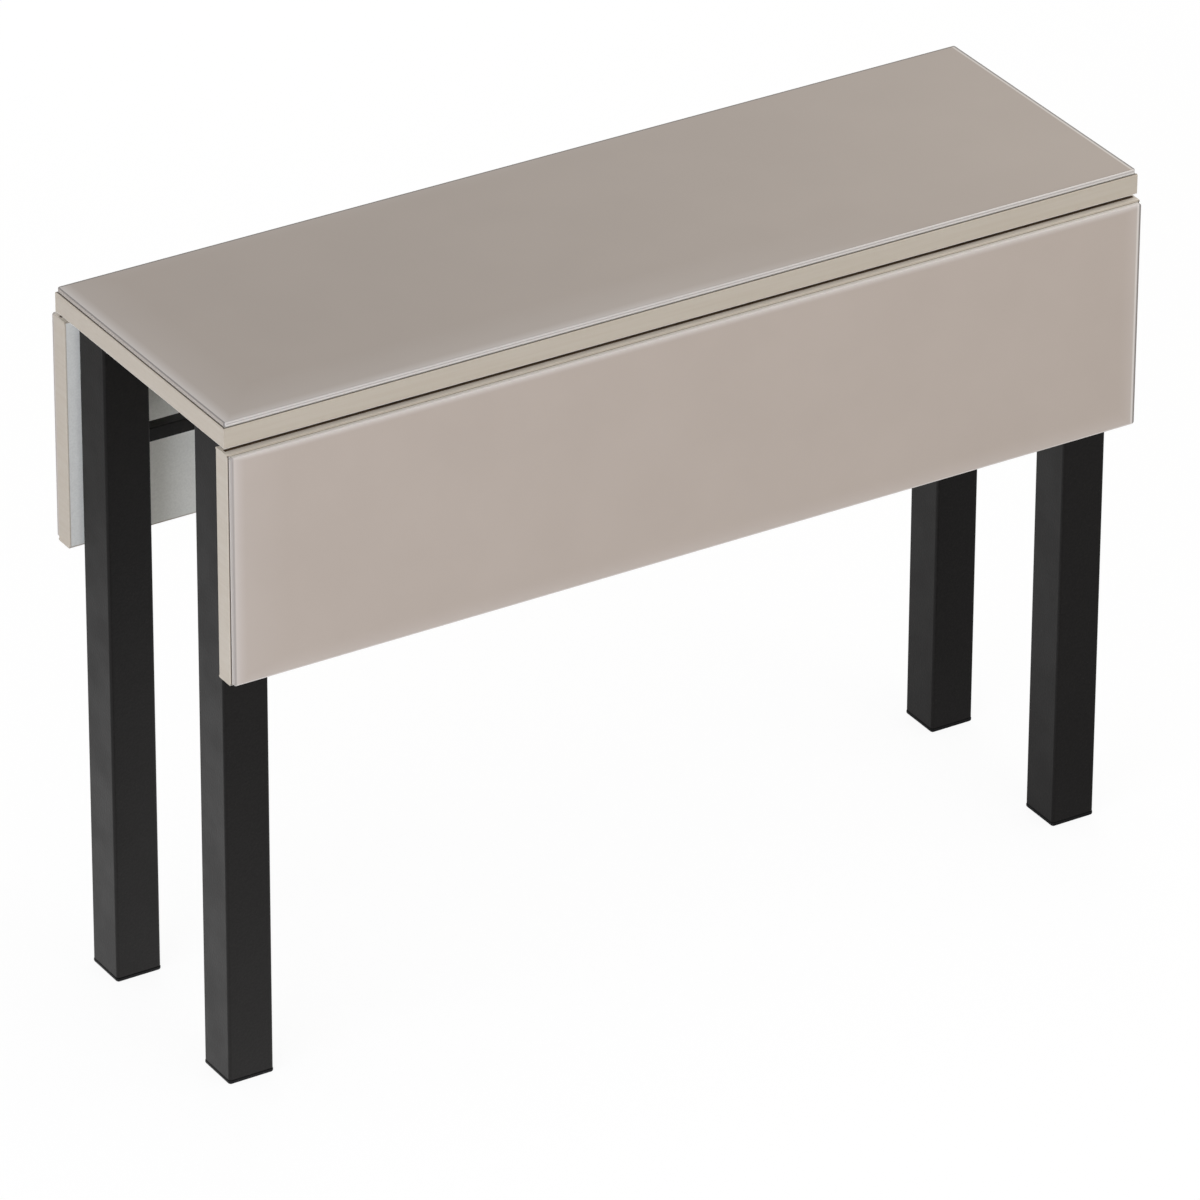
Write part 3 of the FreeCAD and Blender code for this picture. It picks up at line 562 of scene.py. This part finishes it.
def screw_form(length):
    """A pan-head screw along +Z from the top of its head at 0.

    Head: a dome that falls as the cube of the radius, with a cross recess whose four arms keep
    their width and meet in a pit. Shank: the radius rises and falls as a triangle wave of height
    less turn, which is a helix. Tip: the shank shrinks to a point.
    """
    turn = np.linspace(0, 2 * np.pi, SCREW_COLUMNS, endpoint=False)
    share = np.array(HEAD_ROWS)[:, None]
    arm = np.clip(ARM_FULL - ARM_SLOPE * share * np.abs(np.sin(2 * turn)), 0, 1)
    recess = RECESS_DEPTH * arm * np.clip((RECESS_END - share) / RECESS_WALL, 0, 1)
    down = HEAD_DOME * SCREW_HEAD_HEIGHT * share ** 3 + recess
    down[-len(RIM_DROPS):] = np.array(RIM_DROPS)[:, None] * SCREW_HEAD_HEIGHT
    radius = share * SCREW_HEAD * np.ones_like(turn)
    run = np.linspace(SCREW_HEAD_HEIGHT, length, SHANK_ROWS)[:, None]
    wave = 2 * np.abs((run / SCREW_PITCH - turn / (2 * np.pi)) % 1 - 0.5)
    shank = SCREW_CORE + (SCREW_RADIUS - SCREW_CORE) * wave
    shank = shank * np.clip((length - run) / SCREW_TIP, 0, 1)
    along = np.concatenate([down, run * np.ones_like(turn)])
    out = np.concatenate([radius, shank])
    return np.stack([out * np.cos(turn), out * np.sin(turn), along], -1)


def screw_places(node, axis):
    """The lowest and highest corner of each screw, found in the node's solids. The points are
    taken in order along X, so that no neighbour is nearer to a first point than its own head."""
    mesh = frame["nodes"][node].data
    points = np.zeros(len(mesh.vertices) * 3, np.float32)
    mesh.vertices.foreach_get("co", points)
    points = points.reshape(-1, 3).astype(float)
    points = points[points[:, 0].argsort()]
    places = []
    while len(points):
        offset = np.delete(points - points[0], axis, 1)
        near = np.hypot(*offset.T) < SCREW_SPACING
        places.append((points[near].min(0), points[near].max(0)))
        points = points[~near]
    return places


def screws(node, body, material, axis, drive):
    """Stands a threaded, cross-recessed screw in each place of a plain one. Each is driven along
    the axis, 0 to 2 for X to Z, towards its high end with a drive of 1 and its low end with -1."""
    copies = []
    others = [number for number in range(3) if number != axis]
    for low, high in screw_places(node, axis):
        form = screw_form(high[axis] - low[axis])
        placed = np.empty_like(form)
        for number, column in zip(others, (0, 1)):
            placed[..., number] = (low[number] + high[number]) / 2 + form[..., column]
        head = low[axis] if drive > 0 else high[axis]
        placed[..., axis] = head + drive * form[..., 2]
        copies.append(placed)
    piece = new_piece(node + "_threaded", np.stack(copies), body, material, sharp=35)
    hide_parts(node)


# Welds
WELD_LEG = 2.6 * MM
WELD_PITCH = 3.2 * MM
WELD_SUNK = 0.25 * MM
WELD_STEP = 0.55 * MM
WELD_POINTS = 7
WELD_ROUND = 0.8
# The leg of a bead goes from the first share to the sum of both
WELD_LEAST = 0.9
WELD_SWELL = 0.16
RAIL_CORNER = 1.2 * MM
CORNER_POINTS = 5
TURN_POINTS = 6


def even_path(corners):
    """Points about one step apart along straight lines between corners."""
    length = np.concatenate([[0], np.cumsum(np.linalg.norm(np.diff(corners, axis=0), axis=1))])
    wanted = np.linspace(0, length[-1], int(length[-1] / WELD_STEP))
    return np.stack([np.interp(wanted, length, corners[:, way]) for way in (0, 1)], -1)


def weld_bead(path, tapered):
    """A fillet weld along a path in a plane: its places in the plane and its heights off it.

    Its section is the quarter curve (cos a ^ round, sin a ^ round), closed behind. Its leg swells
    and shrinks once each pitch, as a hand-run bead does, and shrinks to nothing at tapered ends.
    """
    ahead = np.gradient(path, axis=0)
    ahead = ahead / np.linalg.norm(ahead, axis=1, keepdims=True)
    outward = np.stack([ahead[:, 1], -ahead[:, 0]], -1)
    run = np.arange(len(path)) / (len(path) - 1)
    total = np.linalg.norm(np.diff(path, axis=0), axis=1).sum()
    swell = np.abs(np.sin(np.pi * run * round(total / WELD_PITCH)))
    leg = WELD_LEG * (WELD_LEAST + WELD_SWELL * swell)
    if tapered:
        leg = leg * np.sqrt(np.clip(np.minimum(run, 1 - run) * total / WELD_LEG, 0, 1))
    angle = np.linspace(0, np.pi / 2, WELD_POINTS)
    sunk = -WELD_SUNK / WELD_LEG
    out = leg[:, None] * np.concatenate([np.cos(angle) ** WELD_ROUND, [sunk]])
    up = leg[:, None] * np.concatenate([np.sin(angle) ** WELD_ROUND, [sunk]])
    return path[:, None] + outward[:, None] * out[..., None], up


def rail_welds(side, material):
    """A bead round each end of a rail, where it meets the leg."""
    low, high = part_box(f"{side}_rail")
    corners = rounded_square((high.z - low.z) / 2, RAIL_CORNER, CORNER_POINTS)
    places, up = weld_bead(even_path(np.concatenate([corners, corners[:1]])), tapered=False)
    places[-1], up[-1] = places[0], up[0]
    beads = []
    for face, inward in ((low.x, 1), (high.x, -1)):
        beads.append(np.stack([face + inward * up, (low.y + high.y) / 2 + places[..., 0],
                               (low.z + high.z) / 2 + places[..., 1]], -1))
    new_piece(f"{side}_rail_welds", np.stack(beads), "frame", material, sharp=60)


def flange_welds(material):
    """A bead under each flange, along the two inner faces of its leg and round the corner between."""
    beads = []
    for side, sign in SIDES.items():
        for end, way in ENDS.items():
            leg_low, leg_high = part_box(f"leg_{side}_{end}")
            plate_low, plate_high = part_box(f"leg_plate_{side}_{end}")
            near = min(abs(leg_low.x), abs(leg_high.x)), min(abs(leg_low.y), abs(leg_high.y))
            far = max(abs(plate_low.x), abs(plate_high.x)), max(abs(plate_low.y), abs(plate_high.y))
            turn = np.linspace(0, np.pi / 2, TURN_POINTS)
            arc = np.stack([near[0] + LEG_CORNER * (1 - np.cos(turn)),
                            near[1] + LEG_CORNER * (1 - np.sin(turn))], -1)
            first = near[0], far[1] - WELD_LEG
            last = far[0] - WELD_LEG, near[1]
            places, up = weld_bead(even_path(np.concatenate([[first], arc, [last]])), tapered=True)
            beads.append(np.stack([way * places[..., 0], sign * places[..., 1], plate_low.z - up], -1))
    new_piece("leg_flange_welds", np.stack(beads), "frame", material, sharp=60)


# Dressing. The strengths of the painted light and shade marks at each side of a pane
TOP_SIDES = {
    "-x": {"wide_haze": 1.0, "far_haze": 0.2, "fine_line": 1.0, "arris": 0.2, "dull_wall": 0.9},
    "-y": {"wide_haze": 0.75, "far_haze": 0.2, "line": 0.22, "arris": 0.85, "pale_wall": 0.8,
           "lined_wall": 0.3},
    "+x": {"strip": 0.9, "line": 1.0},
    "+y": {"wide_haze": 0.12, "line": 1.0},
}
LEAF_SIDES = {
    "-x": {"wide_haze": 0.5, "far_haze": 0.09, "line": 0.55, "dull_wall": 0.5},
    "+z": {"short_haze": 0.7, "bright_wall": 0.9},
    "+x": {"wide_haze": 0.22, "strip": 0.6, "line": 1.0},
    "-z": {"wide_haze": 0.18, "rim": 0.7},
}


def make_finishes():
    """The finish of each slot, and of each pane and set of edge bands by its own name."""
    leaf_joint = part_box("front_leaf_edge_bands")[1].x - BAND_THICKNESS
    return {
        "top_edge_bands": plastic_band("top_edge_bands", "+z", joint_from=0.0),
        "front_leaf_edge_bands": plastic_band("front_leaf_edge_bands", "-y", leaf_joint),
        "rear_leaf_edge_bands": plastic_band("rear_leaf_edge_bands", "+y", leaf_joint),
        "coated_board": melamine(),
        "black_steel": powder_coat(),
        "foot_plastic": moulded("moulded_foot_plastic", "foot", "foot_sheen", ior=1.3, roughness=0.5),
        "zinc_steel": zinc_plate("zinc_plated_steel", "zinc", "zinc_dull"),
        "sleeve_nylon": moulded("turned_nylon", "nylon", "nylon_worn", ior=1.53, roughness=0.4),
        "bumper_rubber": moulded("soft_rubber", "rubber", "rubber_bloom", ior=1.4, roughness=0.75),
        "mounting_tape": foam(),
        "top_glass": painted_glass("top_glass", "+z", TOP_SIDES, far_daylight=0.0),
        "front_leaf_glass": painted_glass("front_leaf_glass", "-y", LEAF_SIDES, far_daylight=1.0),
        "rear_leaf_glass": painted_glass("rear_leaf_glass", "+y", LEAF_SIDES, far_daylight=1.0),
    }


def dress_table():
    """Gives every node its finish, and stands the detailed pieces in the places of the plain ones."""
    finishes = make_finishes()
    # A dark strip in each leaf's gap stands in for the shade there
    gap_shade_finish = moulded("gap_shade_rubber", "gap_shade", "gap_shade_mottle", ior=1.4, roughness=0.85)
    screw_zinc = zinc_plate("zinc_plated_screws", "screw_zinc", "screw_zinc_dull")
    for part in frame["record"]["subparts"]:
        name = part["node"]
        slots = frame["nodes"][name].data.materials
        slots.clear()
        slots.append(finishes[name] if name in finishes else finishes[part["material_slot"]])
    for side, sign in SIDES.items():
        rail_welds(side, finishes["black_steel"])
        bumper_pads(side, sign, finishes["bumper_rubber"])
        gap_shade_strip(side, sign, gap_shade_finish)
        screws(f"{side}_leaf_screws", f"{side}_leaf", screw_zinc, axis=1, drive=sign)
        for end in ENDS:
            foot_cap(f"foot_{side}_{end}", finishes["foot_plastic"])
    flange_welds(finishes["black_steel"])
    screws("leg_plate_screws", "frame", screw_zinc, axis=2, drive=1)
    screws("hinge_base_screws", "frame", screw_zinc, axis=2, drive=1)
    screws("prop_lug_screws", "frame", screw_zinc, axis=2, drive=-1)


# Stage
def seen_directly(tree):
    """1 for rays from the camera and for those that metal and glass send on, and 0 for the rest.
    Returns that and all that is known of the rays."""
    path = add(tree, "ShaderNodeLightPath", {})
    mirrored = add(tree, MATH, {0: path["Is Glossy Ray"], 1: path["Is Transmission Ray"]},
                   operation="MAXIMUM")
    return add(tree, MATH, {0: path["Is Camera Ray"], 1: mirrored[0]}, operation="MAXIMUM")[0], path


def white_world():
    """A white studio: full white where it is seen, and a plain level of light for the object."""
    world = bpy.data.worlds.new("studio")
    world.use_nodes = True
    tree = world.node_tree
    seen, _ = seen_directly(tree)
    strength = add(tree, MAP, {"Value": seen, "To Min": WORLD_STRENGTH, "To Max": 1.0})
    backdrop = tree.nodes["Background"]
    tree.links.new(layered(tree, "studio", [(seen, "white")]), backdrop.inputs["Color"])
    tree.links.new(strength[0], backdrop.inputs["Strength"])
    bpy.context.scene.world = world


def pale_floor():
    """A pale paper floor that keeps a faint shadow where it is seen. Seen from below, it is clear."""
    reach = FLOOR_REACH
    mesh = bpy.data.meshes.new("studio_floor")
    mesh.from_pydata([(-reach, -reach, FLOOR_LEVEL), (reach, -reach, FLOOR_LEVEL),
                      (reach, reach, FLOOR_LEVEL), (-reach, reach, FLOOR_LEVEL)], [], [(0, 1, 2, 3)])
    floor = bpy.data.objects.new("studio_floor", mesh)
    bpy.context.scene.collection.objects.link(floor)
    material = bpy.data.materials.new("pale_paper")
    material.use_nodes = True
    tree = material.node_tree
    tree.nodes.remove(tree.nodes["Principled BSDF"])
    seen, path = seen_directly(tree)
    place = add(tree, "ShaderNodeTexCoord", {})["Object"]
    distance = add(tree, "ShaderNodeVectorMath", {0: place, 1: FLOOR_BRIGHTEST}, operation="DISTANCE")
    faded = add(tree, MAP, {"Value": distance["Value"], "From Min": FLOOR_NEAR, "From Max": FLOOR_FAR,
                            "To Min": 1.0, "To Max": FLOOR_FAR_GLOW})
    level = add(tree, MATH, {0: faded[0], 1: path["Is Camera Ray"]}, operation="MAXIMUM")
    strength = add(tree, MATH, {0: level[0], 1: FLOOR_WHITE}, operation="MULTIPLY")
    paper = add(tree, "ShaderNodeBsdfDiffuse", {"Color": linear("floor")})
    glow = add(tree, "ShaderNodeEmission", {"Color": linear("white"), "Strength": strength[0]})
    share = add(tree, MATH, {0: seen, 1: FLOOR_GLOW}, operation="MULTIPLY")
    look = add(tree, "ShaderNodeMixShader", {0: share[0], 1: paper[0], 2: glow[0]})
    below = add(tree, "ShaderNodeNewGeometry", {})["Backfacing"]
    clear = add(tree, "ShaderNodeBsdfTransparent", {})
    both = add(tree, "ShaderNodeMixShader", {0: below, 1: look[0], 2: clear[0]})
    tree.links.new(both[0], tree.nodes["Material Output"].inputs["Surface"])
    mesh.materials.append(material)


def softboxes():
    """Large soft lights round the table, which neither the camera nor a reflection shows."""
    middle = (solid_box[0] + solid_box[1]) / 2
    for name, (direction, distance, width, height, watts, tint) in SOFTBOXES.items():
        light = bpy.data.lights.new(name, "AREA")
        light.shape = "RECTANGLE"
        light.size = width
        light.size_y = height
        light.energy = watts
        light.color = tint
        lamp = bpy.data.objects.new(name, light)
        lamp.visible_camera = False
        lamp.visible_glossy = False
        away = Vector(direction).normalized()
        lamp.location = middle + away * distance
        lamp.rotation_euler = away.to_track_quat("Z", "Y").to_euler()
        bpy.context.scene.collection.objects.link(lamp)


def camera():
    """The photograph's view: a long lens from the front left, above the top."""
    azimuth, elevation, roll = (math.radians(angle) for angle in (AZIMUTH, ELEVATION, ROLL))
    back = Vector((math.sin(azimuth) * math.cos(elevation), -math.cos(azimuth) * math.cos(elevation),
                   math.sin(elevation)))
    level = Vector((math.cos(azimuth), math.sin(azimuth), 0))
    right = math.cos(roll) * level + math.sin(roll) * back.cross(level)
    turned = Matrix((right, back.cross(right), back)).transposed().to_4x4()
    lens = bpy.data.cameras.new("photo_camera")
    lens.sensor_width = SENSOR_WIDTH
    lens.lens = SENSOR_WIDTH * FOCAL_PIXELS / FRAME_PIXELS
    lens.clip_end = VIEW_REACH
    eye = bpy.data.objects.new("photo_camera", lens)
    eye.matrix_world = Matrix.Translation(AIM + back * DISTANCE) @ turned
    bpy.context.scene.collection.objects.link(eye)
    bpy.context.scene.camera = eye


dress_table()
white_world()
pale_floor()
softboxes()
camera()
bpy.context.scene.view_settings.view_transform = "Standard"
